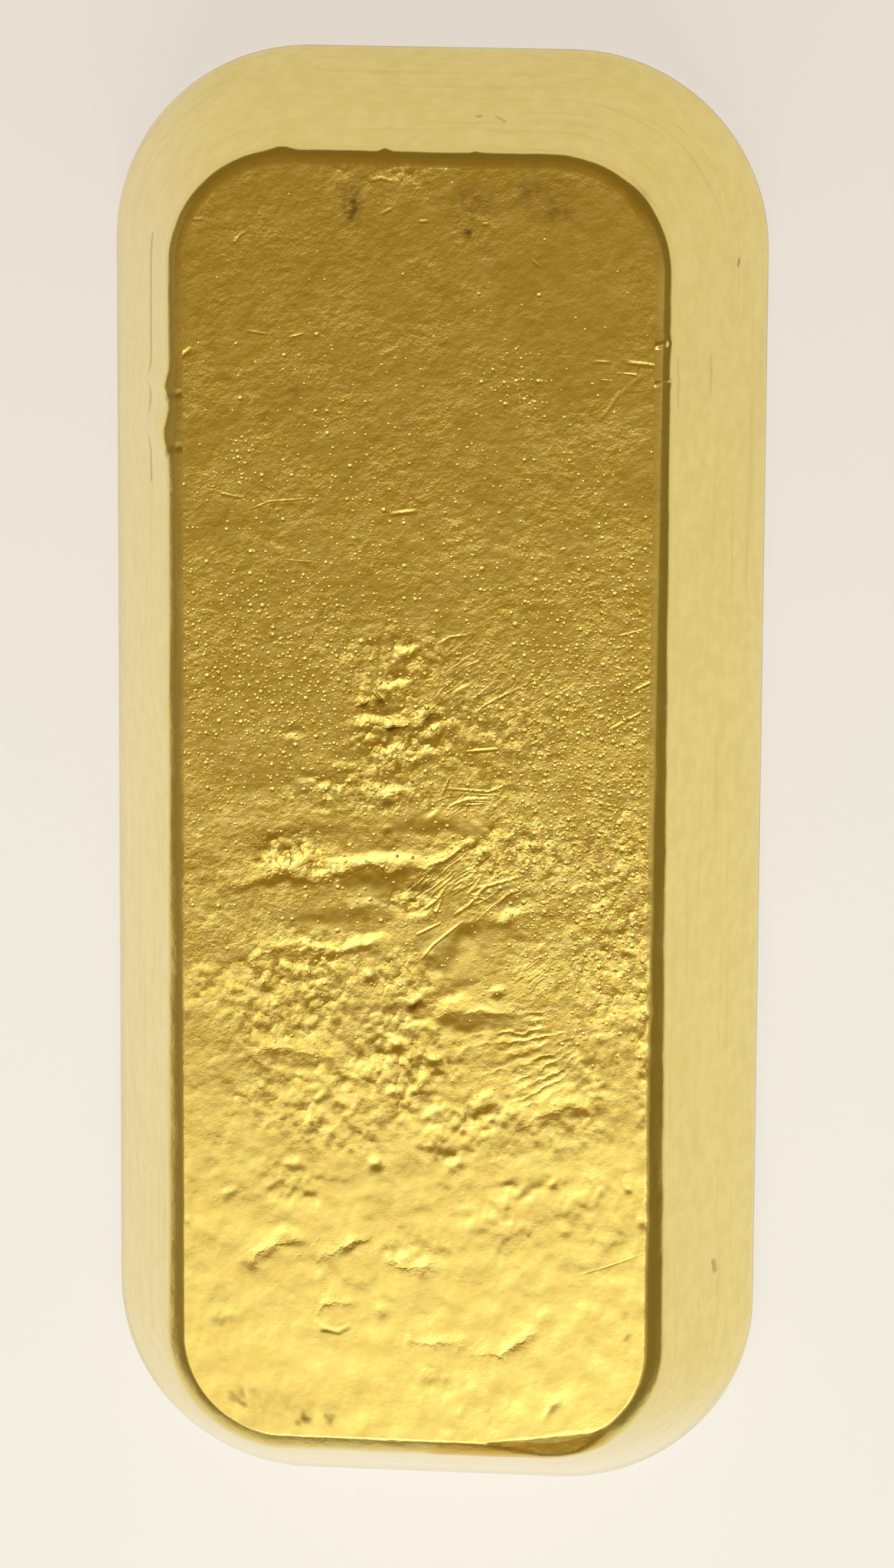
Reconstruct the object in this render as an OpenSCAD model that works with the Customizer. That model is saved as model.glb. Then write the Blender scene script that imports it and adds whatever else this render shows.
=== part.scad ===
// Metal ingot: a bar cast in an open mould and turned out, lying on its open face with its mould face up.
// Millimetres, +Z up, +Y along the bar. The origin is the middle of the face it lies on.

/* [Bar] */
// Length over the rim
bar_l = 97.3; // [50:0.1:160]
// Width over the rim
bar_w = 43.2; // [30:0.1:80]
// Height from the open face up to the mould face
bar_h = 14.95; // [8:0.05:22]
// Corner radius of the rim, seen from above
corner_r = 13; // [9:0.1:20]

/* [Mould] */
// Lean of the sides from upright, in degrees
draft = 23.2; // [3:0.1:32]
// Radius of the edge round the mould face
edge_r = 1.3; // [0.2:0.1:3]
// Radius of the rim round the open face, where the melt drew up
rim_r = 1.8; // [0.4:0.1:3.5]

/* [Look] */
// Red of the cast metal
metal_red = 0.85; // [0:0.01:1]
// Green of the cast metal
metal_green = 0.64; // [0:0.01:1]
// Blue of the cast metal
metal_blue = 0.2; // [0:0.01:1]

/* [Hidden] */
$fn = 96;

// Runs between the corner axes. The draft is even all round, so the axes stand upright.
core_w = bar_w - 2 * corner_r;
core_l = bar_l - 2 * corner_r;

// Direction square to a drafted side, in the section's plane
side_out = [cos(draft), sin(draft)];

// The rounds stand this far proud of the drafted side, so that each cuts it along one clean line.
hair = 0.0005;

// Rim: its round touches the floor, the outermost line and the drafted side.
rim_centre = [corner_r - rim_r, rim_r];
rim_join = rim_centre + (rim_r - hair) * side_out;

// Mould edge: its round touches the same drafted side and the mould face.
edge_z = bar_h - edge_r;
edge_x = ((rim_centre * side_out) + rim_r - edge_r - edge_z * side_out[1]) / side_out[0];
edge_centre = [edge_x, edge_z];
edge_join = edge_centre + (edge_r - hair) * side_out;

// Section of one side, from a corner axis out to the rim, with both rounds as true arcs
module side_section() {
    polygon([
        [0, 0],
        [rim_centre[0], 0],
        rim_join,
        edge_join,
        [edge_centre[0], bar_h],
        [0, bar_h]
    ]);
    translate(rim_centre) circle(rim_r);
    translate(edge_centre) circle(edge_r);
}

// The section turned a quarter about a corner axis: a cone between two rounds
module corner() {
    rotate_extrude(angle = 90) side_section();
}

// The section pushed along a straight side, facing +X
module side(run) {
    rotate([90, 0, 0]) linear_extrude(run, center = true) side_section();
}

// The one casting: corners, sides and the block they surround
module ingot() {
    color([metal_red, metal_green, metal_blue]) union() {
        for (across = [0, 1], along = [0, 1])
            mirror([across, 0, 0]) mirror([0, along, 0]) translate([core_w / 2, core_l / 2, 0]) corner();
        for (across = [0, 1])
            mirror([across, 0, 0]) translate([core_w / 2, 0, 0]) side(core_l);
        for (along = [0, 1])
            mirror([0, along, 0]) translate([0, core_l / 2, 0]) rotate(90) side(core_w);
        translate([-core_w / 2, -core_l / 2, 0]) cube([core_w, core_l, bar_h]);
    }
}

ingot();
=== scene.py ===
"""A metal bar cast in an open mould, turned out and lying on its open face with its rough mould face up.

The casting is one surface: the mould face on a grid, and the section of a side carried round its edge.
Seams, lumps, dents, pits and leaning patches of the cast skin, and its worn edge, are in the mesh.
Its grain, crumbs, pores, streaks, ripples and scratches are bump.
Lengths are in millimetres, and become metres where a mesh, a lamp or a node takes them.
"""
import math

import bpy
import numpy as np
from mathutils import Matrix, Vector


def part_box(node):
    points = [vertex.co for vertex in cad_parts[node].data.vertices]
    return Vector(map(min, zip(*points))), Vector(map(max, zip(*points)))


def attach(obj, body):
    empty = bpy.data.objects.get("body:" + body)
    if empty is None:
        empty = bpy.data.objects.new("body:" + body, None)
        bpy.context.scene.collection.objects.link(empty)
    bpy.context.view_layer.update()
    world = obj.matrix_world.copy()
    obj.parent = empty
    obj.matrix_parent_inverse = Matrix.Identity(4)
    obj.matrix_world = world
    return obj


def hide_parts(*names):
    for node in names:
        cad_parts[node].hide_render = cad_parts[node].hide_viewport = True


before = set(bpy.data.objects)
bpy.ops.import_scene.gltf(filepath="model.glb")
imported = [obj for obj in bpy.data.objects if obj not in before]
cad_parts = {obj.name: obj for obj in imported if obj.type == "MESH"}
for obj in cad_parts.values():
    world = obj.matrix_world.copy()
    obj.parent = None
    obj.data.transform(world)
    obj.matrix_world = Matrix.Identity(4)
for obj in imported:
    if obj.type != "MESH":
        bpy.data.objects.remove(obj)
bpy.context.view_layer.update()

# Driving sizes of the bar
MM = 0.001
node_low, node_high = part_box("ingot")
BAR_W, BAR_L, BAR_H = ((node_high[i] - node_low[i]) / MM for i in range(3))
CORNER_R = 13.0
DRAFT = math.radians(23.2)
EDGE_R = 1.3
RIM_R = 1.8

# The corner axes stand upright, and the section of a side is measured out from them.
CORE_W = BAR_W - 2 * CORNER_R
CORE_L = BAR_L - 2 * CORNER_R
EDGE_Z = BAR_H - EDGE_R
RIM_X = CORNER_R - RIM_R
EDGE_X = (RIM_X * math.cos(DRAFT) + RIM_R * math.sin(DRAFT) + RIM_R - EDGE_R
          - EDGE_Z * math.sin(DRAFT)) / math.cos(DRAFT)

# Grid of the mould face, with its rows closest where the skin is roughest
FACE_COLUMNS = 191
FINE_LOW = -26.0
FINE_HIGH = 13.0
LOW_ROWS = 38
FINE_ROWS = 250
HIGH_ROWS = 52
STRAIGHT_ROWS = LOW_ROWS + FINE_ROWS + HIGH_ROWS
CORNER_ROWS = 24

# Rings of the side, and the angles over level that the rings of the rim face
EDGE_RINGS = 7
SIDE_RINGS = 4
RIM_RINGS = 5
RIM_TURN = np.linspace(DRAFT, -math.pi / 2, RIM_RINGS + 1)


# Noise

# Whole numbers that mix a grid point into one of many directions
MIX_COLUMN = 73856093
MIX_ROW = 19349663
MIX_SEED = 83492791
MIX_AGAIN = 1274126177
MIX_KEEP = 0x7FFFFFFF
MIX_SHIFT = 13
MIX_SHIFT_AGAIN = 16
DIRECTIONS = 4096

# Gain that brings smooth noise to about 1, and how many layers a layered noise has
NOISE_GAIN = 1.5
NOISE_LAYERS = 2


def fifth_power(share):
    """A step from 0 to 1: 6 times the fifth power, less 15 times the fourth, plus 10 times the third."""
    return share ** 3 * (share * (share * 6 - 15) + 10)


def smooth_noise(x, y, seed):
    """Noise from about -1 to 1: a random slope at each whole number, blended by the fifth-power step."""
    column = np.floor(x).astype(np.int64)
    row = np.floor(y).astype(np.int64)
    right = x - column
    up = y - row

    def slope(step_x, step_y):
        key = (column + step_x) * MIX_COLUMN ^ (row + step_y) * MIX_ROW ^ seed * MIX_SEED
        key = (key ^ (key >> MIX_SHIFT)) * MIX_AGAIN & MIX_KEEP
        angle = (key ^ (key >> MIX_SHIFT_AGAIN)) % DIRECTIONS * (math.tau / DIRECTIONS)
        return np.cos(angle) * (right - step_x) + np.sin(angle) * (up - step_y)

    blend_x = fifth_power(right)
    blend_y = fifth_power(up)
    low = slope(0, 0) * (1 - blend_x) + slope(1, 0) * blend_x
    high = slope(0, 1) * (1 - blend_x) + slope(1, 1) * blend_x
    return NOISE_GAIN * (low * (1 - blend_y) + high * blend_y)


def layered_noise(x, y, size, seed):
    """Noise of that size, with finer layers added, each half as wide and half as strong."""
    total = np.zeros_like(x)
    for layer in range(NOISE_LAYERS):
        finer = 2 ** layer
        total += smooth_noise(x / size * finer, y / size * finer, seed + layer) / finer
    return total


# Shapes of the cast skin

def ramp(value, start, end):
    """0 before start, 1 after end, and a smooth S between them."""
    share = np.clip((value - start) / (end - start), 0, 1)
    return share * share * (3 - 2 * share)


def turned(x, y, centre, turn):
    """Place along and across a mark that is turned by some degrees about its middle."""
    cos_turn = math.cos(math.radians(turn))
    sin_turn = math.sin(math.radians(turn))
    along = (x - centre[0]) * cos_turn + (y - centre[1]) * sin_turn
    across = (y - centre[1]) * cos_turn - (x - centre[0]) * sin_turn
    return along, across


def patch(x, y, centre, half_x, half_y, soft):
    """Mask of an oval: it falls from 1 to 0 while the distance, in half sizes, goes from 1 less soft to 1
    plus soft."""
    reach = np.hypot((x - centre[0]) / half_x, (y - centre[1]) / half_y)
    return 1 - ramp(reach, 1 - soft, 1 + soft)


def bell(x, y, centre, half_x, half_y, turn):
    """A bell of height 1: e to the minus squared distance, counted in half sizes."""
    along, across = turned(x, y, centre, turn)
    return np.exp(-(along / half_x) ** 2 - (across / half_y) ** 2)


def leaning(x, y, centre, half_x, half_y, turn):
    """A patch of skin that leans: the distance across it times a bell, so its slope is 1 in the middle."""
    across = turned(x, y, centre, turn)[1]
    return across * bell(x, y, centre, half_x, half_y, turn)


def from_line(x, y, line):
    """Distance from a line of points, positive on its left side, and the share of the way along it."""
    nearest = np.full(x.shape, np.inf)
    signed = np.zeros_like(x)
    way = np.zeros_like(x)
    for number, (start, end) in enumerate(zip(line, line[1:])):
        run_x = end[0] - start[0]
        run_y = end[1] - start[1]
        share = ((x - start[0]) * run_x + (y - start[1]) * run_y) / (run_x ** 2 + run_y ** 2)
        share = np.clip(share, 0, 1)
        away = np.hypot(x - start[0] - share * run_x, y - start[1] - share * run_y)
        side = np.sign((y - start[1]) * run_x - (x - start[0]) * run_y)
        closer = away < nearest
        nearest = np.where(closer, away, nearest)
        signed = np.where(closer, away * side, signed)
        way = np.where(closer, (number + share) / (len(line) - 1), way)
    return signed, way


def thin_ends(way):
    """1 half way along a line, falling to 0 at both ends as the root of a half wave."""
    return np.sqrt(np.sin(np.pi * way))


def seam(x, y, line, depth, upper, lower):
    """A seam where two runs of melt met cold: a groove that sinks with e to the minus distance, by its own
    width on each side of the line, and thins out at both ends."""
    signed, way = from_line(x, y, line)
    width = np.where(signed > 0, upper, lower)
    return -depth * thin_ends(way) * np.exp(-np.abs(signed) / width)


# Distance within which a line marks the skin
MARK_REACH = 1.6


def nearest_mark(x, y, marks):
    """Distance from the nearest line, positive on its left, with that line's width and its depth, which
    falls to 0 at its ends and at MARK_REACH."""
    away = np.full(x.shape, np.inf)
    width = np.ones_like(x)
    depth = np.zeros_like(x)
    for line, line_width, line_depth in marks:
        signed, way = from_line(x, y, line)
        closer = np.abs(signed) < np.abs(away)
        away = np.where(closer, signed, away)
        width = np.where(closer, line_width, width)
        depth = np.where(closer, line_depth * thin_ends(way), depth)
    fade = ramp(np.abs(away), MARK_REACH, MARK_REACH / 2)
    return np.clip(away, -MARK_REACH, MARK_REACH), width, depth * fade


# Seams: points from left to right, then depth and the widths above and below
SEAMS = [
    ([(-12.9, -5.1), (-10.9, -4.8), (-9.3, -4.2), (-7.4, -4.4), (-6.6, -4.6), (-5.2, -4.0), (-3.6, -3.5),
      (-3.0, -3.2), (-1.7, -3.9), (-1.0, -3.5), (0.8, -3.5), (3.0, -2.0), (4.2, -1.6), (6.3, -1.3)],
     0.07, 0.6, 0.25),
    ([(-11.1, -11.0), (-10.7, -9.8), (-9.2, -9.1), (-7.6, -9.2), (-4.9, -9.1), (-3.2, -8.9), (-2.0, -7.9)],
     0.04, 0.5, 0.25),
    ([(-11.0, -17.2), (-10.2, -16.1), (-9.0, -15.8), (-7.6, -16.1), (-4.6, -16.5)], 0.04, 0.5, 0.5),
    ([(1.2, -13.6), (2.4, -13.1), (4.4, -13.0), (6.7, -13.1)], 0.045, 0.6, 0.4),
    ([(6.5, -21.2), (7.6, -20.3), (8.7, -19.6), (10.1, -19.2), (11.5, -19.3)], 0.04, 0.4, 0.3),
    ([(-10.7, -31.0), (-10.5, -30.0), (-9.0, -29.2), (-7.5, -28.8)], 0.06, 0.5, 0.5),
    ([(-6.6, -30.2), (-5.0, -29.4), (-4.0, -28.9), (-2.7, -28.5)], 0.06, 0.5, 0.5),
    ([(-2.0, -30.0), (-0.8, -30.4), (0.6, -30.6), (1.6, -30.0)], 0.06, 0.4, 0.4),
    ([(-0.6, -35.5), (1.2, -35.8), (3.6, -35.2)], 0.04, 0.4, 0.3),
    ([(3.6, -36.3), (5.8, -36.3), (7.0, -35.4), (8.3, -34.6)], 0.05, 0.4, 0.3),
    ([(-2.0, 5.8), (-1.3, 5.9), (-0.7, 6.0), (0.2, 6.1), (0.8, 6.6), (1.4, 6.9), (1.9, 6.5)],
     0.07, 0.25, 0.2),
    ([(-6.5, -33.9), (-5.9, -33.3), (-5.0, -33.1), (-3.8, -33.2)], 0.05, 0.3, 0.3),
]

# Patches that lean: middle, half sizes, turn in degrees, slope. A slope above 0 faces the low end.
LEANING = [
    ((-0.8, 11.2), 0.9, 0.40, 10, 0.15),
    ((-1.9, 8.7), 0.6, 0.40, 0, 0.22),
    ((-1.1, 9.0), 0.6, 0.35, 25, 0.17),
    ((3.0, 8.6), 0.8, 0.35, 25, 0.08),
    ((4.2, 7.3), 0.9, 0.30, 40, 0.08),
    ((-2.9, 6.2), 0.9, 0.50, 0, 0.22),
    ((1.4, 6.0), 0.8, 0.45, 30, 0.18),
    ((-1.5, 4.7), 0.7, 0.50, 20, 0.13),
    ((0.5, 4.5), 0.8, 0.80, 0, 0.09),
    ((-8.1, 5.0), 0.6, 0.30, 0, 0.16),
    ((-4.8, 3.4), 0.7, 0.40, 0, 0.09),
    ((-6.1, 2.1), 1.3, 0.35, 5, 0.12),
    ((-2.0, 1.7), 1.3, 0.55, 0, 0.16),
    ((1.1, 0.4), 0.5, 0.30, 35, 0.17),
    ((-6.1, 0.2), 0.6, 0.30, 10, 0.09),
    ((5.5, 3.7), 0.5, 0.30, 0, 0.11),
    ((-8.4, -2.9), 1.6, 0.90, 10, 0.12),
    ((-1.7, -2.8), 2.2, 0.70, 0, 0.13),
    ((-4.7, -3.2), 1.4, 0.45, 10, 0.10),
    ((-6.2, -4.1), 0.7, 0.35, 10, 0.10),
    ((1.9, -2.7), 1.5, 0.40, 35, 0.06),
    ((4.1, -2.2), 1.3, 0.50, 25, 0.08),
    ((7.3, -1.5), 0.7, 0.40, 10, 0.08),
    ((0.4, -6.3), 0.9, 0.35, 25, 0.14),
    ((6.0, -6.3), 1.3, 0.65, 15, 0.12),
    ((-3.2, -5.8), 1.0, 0.40, 0, 0.08),
    ((-0.9, -5.4), 0.6, 0.40, 0, 0.08),
    ((10.6, -4.4), 0.8, 0.30, 20, 0.10),
    ((-3.4, -8.3), 1.4, 0.50, 12, 0.12),
    ((-6.8, -8.7), 1.6, 0.35, 0, 0.09),
    ((-8.5, -10.1), 0.9, 0.40, 0, 0.08),
    ((7.6, -8.4), 1.0, 0.45, 0, 0.06),
    ((2.5, -12.2), 1.2, 0.60, 30, 0.10),
    ((-2.7, -14.7), 0.6, 0.40, 30, 0.10),
    ((4.8, -20.2), 0.6, 0.30, 20, 0.18),
    ((0.3, -13.8), 0.7, 0.40, 30, 0.15),
    ((-8.1, -23.4), 0.6, 0.40, 10, 0.08),
    ((10.4, -18.8), 0.8, 0.35, -10, 0.08),
    ((2.6, -19.5), 0.7, 0.40, 0, 0.08),
    ((-1.0, -20.5), 0.4, 0.35, 10, 0.11),
    ((-8.0, -17.4), 1.3, 0.40, 0, 0.06),
    ((-8.5, -28.2), 1.2, 0.40, -5, 0.08),
    ((-0.7, -29.4), 1.0, 0.40, 0, 0.06),
    ((8.5, -33.4), 0.5, 0.35, 30, 0.07),
    ((1.5, -0.7), 3.0, 0.65, 0, -0.06),
    ((-3.2, -4.5), 1.3, 0.60, 0, -0.09),
    ((-9.6, -4.8), 1.6, 0.35, 10, -0.07),
    ((0.3, -4.7), 0.7, 0.50, 0, -0.10),
    ((-5.5, -6.9), 2.2, 0.70, 0, -0.05),
    ((-7.0, -1.3), 3.0, 0.60, 0, -0.04),
    ((3.4, -13.8), 2.2, 0.80, 5, -0.06),
    ((-2.4, -9.4), 1.2, 0.40, -20, -0.08),
    ((2.2, -8.9), 2.2, 0.80, 50, -0.06),
    ((3.6, -7.4), 1.5, 0.60, 30, -0.06),
    ((-6.0, -19.6), 2.0, 0.35, 0, -0.05),
    ((0.5, -22.2), 0.5, 0.40, 0, -0.06),
    ((2.5, -22.6), 1.2, 0.30, 10, -0.07),
    ((-8.2, -29.0), 0.8, 0.40, 0, -0.07),
    ((-9.6, -29.7), 1.2, 0.35, 25, -0.05),
    ((-4.2, -29.2), 1.2, 0.40, 25, -0.07),
    ((-0.5, -30.3), 1.0, 0.30, 0, -0.09),
    ((7.5, -25.1), 1.3, 0.45, 45, -0.08),
    ((6.2, -24.5), 0.9, 0.35, 10, -0.08),
    ((5.7, -29.0), 0.7, 0.30, 60, -0.09),
    ((3.4, -26.7), 0.5, 0.30, 0, -0.11),
    ((0.0, -26.7), 0.9, 0.30, 20, -0.09),
    ((-9.4, -25.4), 1.0, 0.40, 30, -0.08),
    ((-6.8, -25.9), 1.0, 0.40, 0, -0.05),
    ((4.2, -32.4), 1.0, 0.25, 0, -0.06),
    ((7.7, -32.0), 0.6, 0.25, -30, -0.09),
    ((0.5, -36.5), 0.8, 0.25, 0, -0.07),
    ((2.3, -39.9), 0.7, 0.25, 25, -0.07),
    ((-0.6, -40.0), 1.2, 0.25, 0, -0.05),
    ((-12.5, -34.6), 0.8, 0.30, 0, -0.06),
]

LEAN_STRENGTH = 1.8

# Small round pits that catch the light: middle, half size, depth
PITS = [
    ((-3.0, -10.8), 0.34, 0.15),
    ((5.5, -11.6), 0.32, 0.13),
    ((-1.2, -15.4), 0.36, 0.15),
    ((1.4, -16.3), 0.34, 0.15),
    ((-2.5, -23.5), 0.36, 0.14),
]

# Dents: middle, half sizes, turn in degrees, depth
DENTS = [
    ((-3.6, 7.3), 0.30, 0.22, 20, 0.12),
    ((-2.4, 7.8), 0.40, 0.20, -50, 0.10),
    ((-1.7, 3.9), 0.25, 0.25, 0, 0.07),
    ((-1.9, -0.8), 0.30, 0.25, 0, 0.07),
    ((-2.0, -33.7), 0.40, 0.35, 0, 0.07),
    ((-0.1, -12.6), 0.60, 0.30, 15, 0.12),
    ((14.0, -8.7), 0.45, 0.30, 10, 0.09),
    ((9.3, -24.5), 0.35, 0.30, 0, 0.07),
    ((15.0, -27.0), 0.35, 0.35, 0, 0.09),
    ((12.3, -24.9), 0.25, 0.25, 0, 0.05),
    ((14.4, -24.5), 0.25, 0.25, 0, 0.05),
    ((10.2, -27.7), 0.30, 0.25, 0, 0.05),
    ((9.4, -39.9), 0.80, 0.25, 40, 0.10),
    ((3.4, -40.3), 0.30, 0.25, 30, 0.05),
    ((-14.9, -27.7), 0.30, 0.30, 0, 0.06),
    ((-12.4, -25.9), 0.40, 0.30, 10, 0.06),
    ((-5.9, -34.9), 0.40, 0.25, 0, 0.05),
    ((-6.1, -31.4), 0.40, 0.25, 20, 0.05),
]

# Swellings of the mould edge: place on the edge, half length, how far they stand out
EDGE_SWELLS = [
    ((-8.9, 43.6), 0.75, 0.2),
    ((-2.2, 43.6), 0.35, 0.18),
    ((3.6, 43.6), 0.25, 0.06),
    ((-16.4, 27.8), 0.65, 0.28),
    ((-16.4, 24.7), 1.1, 0.36),
    ((16.4, 31.2), 0.35, 0.10),
    ((16.4, 28.7), 0.3, 0.10),
]

# How far the long sides of the mould face draw in, and half the length over which they do
BOW = 0.06
BOW_HALF = 36.0

# Slight waves of the mould edge: height and size
EDGE_WAVE = 0.03
EDGE_WAVE_SIZE = 3.0
EDGE_WAVE_SEED = 41

# The mould edge wears to a bevel: two places along the bar, and its reach there into the face and down the
# side, as shares of the round's
BEVEL_AT = (-36.0, 44.0)
BEVEL_IN = (0.95, 0.4)
BEVEL_DOWN = (1.2, 0.4)

# How far below the bevel its last ring lies, and how far it bulges as a share of its reach
BEVEL_FOOT = 0.1
BEVEL_BULGE = 0.06

# Flats worn into the mould edge: a line over which each begins, counter-clockwise, and its fall in degrees
FLATS = [
    ((-0.6, -43.2), (12.4, -41.2), 26.5),
    ((14.8, 39.3), (11.6, 42.9), 36),
]

# Crumbly fields: middle, half sizes, strength
CRUMB_FIELDS = [
    ((-1.0, 9.5), 3.6, 2.6, 0.5),
    ((-6.0, -3.8), 1.4, 0.7, 0.9),
    ((-0.8, 5.2), 3.4, 2.2, 0.9),
    ((4.5, 6.0), 4.5, 4.0, 0.4),
    ((-4.0, 1.6), 4.6, 1.4, 0.6),
    ((-8.6, -2.8), 2.0, 1.4, 1.0),
    ((6.5, -2.0), 4.0, 2.0, 0.6),
    ((-0.5, -5.6), 1.4, 0.8, 0.8),
    ((-8.0, -12.5), 5.0, 4.2, 0.75),
    ((-1.0, -10.8), 2.6, 1.8, 0.7),
    ((-1.2, -16.8), 3.4, 4.6, 1.0),
    ((-7.0, -20.0), 5.5, 2.6, 0.7),
    ((4.0, -20.2), 5.0, 2.4, 0.9),
    ((13.0, -10.0), 3.2, 9.0, 0.55),
    ((11.5, -17.5), 1.4, 4.0, 0.7),
    ((6.5, -26.5), 3.0, 2.4, 0.5),
    ((-8.5, -25.0), 3.0, 1.8, 0.6),
    ((0.0, -29.6), 2.6, 1.4, 0.6),
    ((12.5, -28.0), 3.0, 6.0, 0.35),
    ((1.2, -38.2), 2.0, 1.2, 0.5),
    ((15.2, -14.5), 0.7, 6.5, 1.0),
    ((-1.8, 42.1), 2.4, 0.5, 1.0),
    ((1.4, 42.6), 1.6, 0.25, 0.8),
]

# Least strength of the crumbs, and the places along the bar between which it comes
CRUMB_LEAST = 0.17
CRUMB_LEAST_AT = (12.0, -8.0)

# Sheets where the melt ran smooth: middle, half sizes, how much of the grain they lose
SMOOTH_SHEETS = [
    ((1.5, -0.7), 3.6, 1.0, 0.7),
    ((-3.0, -4.6), 1.8, 1.0, 0.7),
    ((-5.5, -6.8), 2.6, 1.0, 0.6),
    ((3.0, -8.6), 2.8, 2.2, 0.7),
    ((3.4, -13.8), 2.6, 0.9, 0.7),
    ((-1.6, -2.8), 2.4, 0.7, 0.6),
    ((10.0, 35.0), 5.0, 6.0, 0.4),
    ((-9.5, 5.0), 5.5, 5.0, 0.3),
]
SHEET_SOFT = 0.6

# Share of the grain that is lost toward the low end, and the places along the bar between which it goes
GRAIN_LOST = 0.75
GRAIN_LOST_AT = (0.0, -26.0)

# Fields of pores: middle, half sizes, share of places that hold a pore
PORE_FIELDS = [
    ((-9.5, 8.6), 7.0, 6.5, 0.85),
    ((11.8, 2.5), 5.5, 13.0, 1.0),
    ((6.8, 28.2), 1.9, 2.6, 0.6),
    ((-11.2, 22.9), 0.9, 2.4, 0.8),
    ((-8.0, 23.0), 6.0, 8.0, 0.15),
    ((-3.0, 14.0), 9.0, 6.0, 0.25),
    ((0.0, 8.0), 17.0, 17.0, 0.25),
    ((0.0, 14.0), 17.0, 18.0, 0.06),
]

# Fields of feathered streaks: middle, half sizes, strength
STREAK_FIELDS = [
    ((3.2, -4.4), 3.8, 2.0, 1.0),
    ((4.4, 8.6), 4.6, 3.4, 0.5),
    ((3.4, 1.2), 2.2, 1.0, 0.5),
    ((7.6, -10.6), 1.6, 1.2, 0.6),
]

# Brown stains, and painted shade where an oval sits on a dent, a seam or a sunken patch: middle, half sizes,
# strength
STAINS_AND_PAINTED_SHADE = [
    ((-4.3, 39.9), 0.5, 1.0, 0.8),
    ((3.6, 40.2), 1.6, 0.9, 0.3),
    ((7.8, 40.9), 2.0, 0.9, 0.35),
    ((9.0, 39.5), 1.0, 0.4, 0.45),
    ((3.0, 38.2), 0.3, 0.18, 0.8),
    ((-0.8, 25.9), 0.5, 0.35, 0.4),
    ((-8.0, 27.9), 0.5, 0.25, 0.35),
    ((-10.1, 26.3), 0.4, 0.35, 0.3),
    ((-6.1, 13.3), 0.25, 0.5, 0.45),
    ((-11.5, -39.9), 0.6, 0.5, 0.9),
    ((-10.7, -39.6), 0.4, 0.7, 0.3),
    ((-7.3, -41.1), 0.5, 0.45, 0.9),
    ((-5.5, -41.2), 0.5, 0.4, 0.7),
    ((-8.4, -40.2), 0.6, 0.4, 0.25),
    ((-12.6, -34.6), 0.7, 0.35, 0.5),
    ((-9.4, -40.4), 3.5, 1.4, 0.15),
    ((14.3, -34.6), 0.3, 0.25, 0.5),
    ((14.0, -33.5), 0.4, 0.4, 0.25),
    ((11.6, -2.0), 1.2, 0.7, 0.3),
    ((-0.1, -12.6), 0.7, 0.3, 0.8),
    ((-3.6, 7.3), 0.35, 0.2, 0.8),
    ((-2.4, 7.8), 0.35, 0.25, 0.5),
    ((-1.6, 5.8), 0.45, 0.15, 0.8),
    ((0.7, 6.5), 0.25, 0.2, 0.7),
    ((-1.6, 1.0), 0.5, 0.15, 0.5),
    ((-1.9, -0.8), 0.3, 0.25, 0.5),
    ((0.4, -4.9), 0.6, 0.5, 0.35),
    ((9.4, -39.9), 0.45, 0.3, 0.7),
]

# Softness of the border of each stain and painted shade, its usual strength, and how much noise of some size
# changes that
STAIN_SHADE_SOFT = 0.7
STAIN_SHADE_USUAL = 0.8
STAIN_SHADE_CHANGE = 0.8
STAIN_SHADE_CHANGE_SIZE = 0.6
STAIN_SHADE_SEED = 71

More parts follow.
